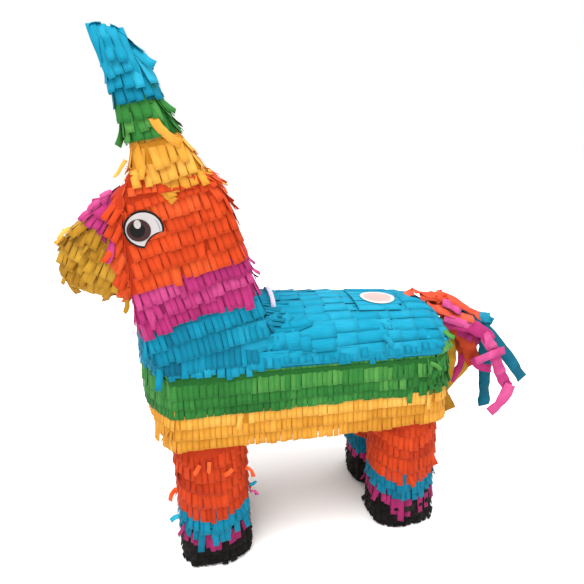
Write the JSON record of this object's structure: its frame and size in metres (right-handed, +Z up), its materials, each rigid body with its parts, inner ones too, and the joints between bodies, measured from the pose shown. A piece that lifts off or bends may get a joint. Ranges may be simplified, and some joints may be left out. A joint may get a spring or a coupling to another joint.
{
  "type": "rainbow donkey pinata",
  "caption": "Hollow cardboard donkey pinata in bands of cut crepe paper fringe, with a fill flap and hanging strap in the back and a tail of loose paper streamers.",
  "frame": {"origin": "on the ground plane under the middle of the whole object's box, tail streamers included", "axes": "+Z up, the donkey faces -X, its left side faces -Y"},
  "size_m": [0.5668, 0.1502, 0.559],
  "materials": {
    "cardboard": "raw kraft corrugated board",
    "crepe_blue": "crepe paper, matte",
    "crepe_green": "crepe paper, matte",
    "crepe_yellow": "crepe paper, matte",
    "crepe_orange": "crepe paper, matte",
    "crepe_pink": "crepe paper, matte",
    "crepe_black": "crepe paper, matte",
    "crepe_mustard": "crepe paper, matte",
    "streamer_teal": "tissue streamer, matte",
    "streamer_red": "tissue streamer, matte",
    "eye_sticker": "printed sticker, satin",
    "label_paper": "blank self-adhesive label, satin",
    "strap_ribbon": "flat woven ribbon"
  },
  "bodies": {
    "root": {"side_panel_left": "cardboard", "side_panel_right": "cardboard", "belly_panel": "cardboard", "rump_panel": "cardboard", "back_panel": "cardboard", "chest_panel": "cardboard", "face_panel": "cardboard", "crown_panel": "cardboard", "nape_panel": "cardboard", "muzzle_box": "cardboard", "ear_box_left": "cardboard", "ear_box_right": "cardboard", "strap_anchor": "cardboard", "leg_tube_front_left": "cardboard", "hoof_cap_front_left": "cardboard", "leg_fringe_orange_front_left": "crepe_orange", "leg_fringe_blue_front_left": "crepe_blue", "hoof_fringe_front_left": "crepe_black", "leg_tube_front_right": "cardboard", "hoof_cap_front_right": "cardboard", "leg_fringe_orange_front_right": "crepe_orange", "leg_fringe_blue_front_right": "crepe_blue", "hoof_fringe_front_right": "crepe_black", "leg_tube_rear_left": "cardboard", "hoof_cap_rear_left": "cardboard", "leg_fringe_orange_rear_left": "crepe_orange", "leg_fringe_blue_rear_left": "crepe_blue", "hoof_fringe_rear_left": "crepe_black", "leg_tube_rear_right": "cardboard", "hoof_cap_rear_right": "cardboard", "leg_fringe_orange_rear_right": "crepe_orange", "leg_fringe_blue_rear_right": "crepe_blue", "hoof_fringe_rear_right": "crepe_black", "body_fringe_yellow": "crepe_yellow", "body_fringe_green": "crepe_green", "body_fringe_blue": "crepe_blue", "neck_fringe_pink": "crepe_pink", "head_fringe_orange": "crepe_orange", "muzzle_fringe_orange": "crepe_orange", "muzzle_fringe_pink": "crepe_pink", "muzzle_fringe_mustard": "crepe_mustard", "hang_strap": "strap_ribbon", "eye_left": "eye_sticker", "eye_right": "eye_sticker", "ear_fringe_yellow_left": "crepe_yellow", "ear_fringe_green_left": "crepe_green", "ear_fringe_blue_left": "crepe_blue", "ear_fringe_yellow_right": "crepe_yellow", "ear_fringe_green_right": "crepe_green", "ear_fringe_blue_right": "crepe_blue"},
    "flap": {"fill_flap": "cardboard", "flap_tissue": "crepe_blue", "blank_label": "label_paper"},
    "tail": {"tail_knot": "crepe_orange", "tail_streamer_orange_1": "crepe_orange", "tail_streamer_pink_1": "crepe_pink", "tail_streamer_teal_1": "streamer_teal", "tail_streamer_teal_2": "streamer_teal", "tail_streamer_red_1": "streamer_red", "tail_streamer_mustard_1": "crepe_mustard"}
  },
  "joints": [
    {"name": "flap_hinge", "type": "hinge", "parent": "root", "child": "flap", "pos_m": [0.0496, 0.0204, 0.28295], "axis": [-0.996, 0, 0.0891], "range_deg": [0, 115]},
    {"name": "tail_swing", "type": "hinge", "parent": "root", "child": "tail", "pos_m": [0.1326, 0, 0.284], "axis": [0, -1, 0], "range_deg": [0, 35]}
  ]
}
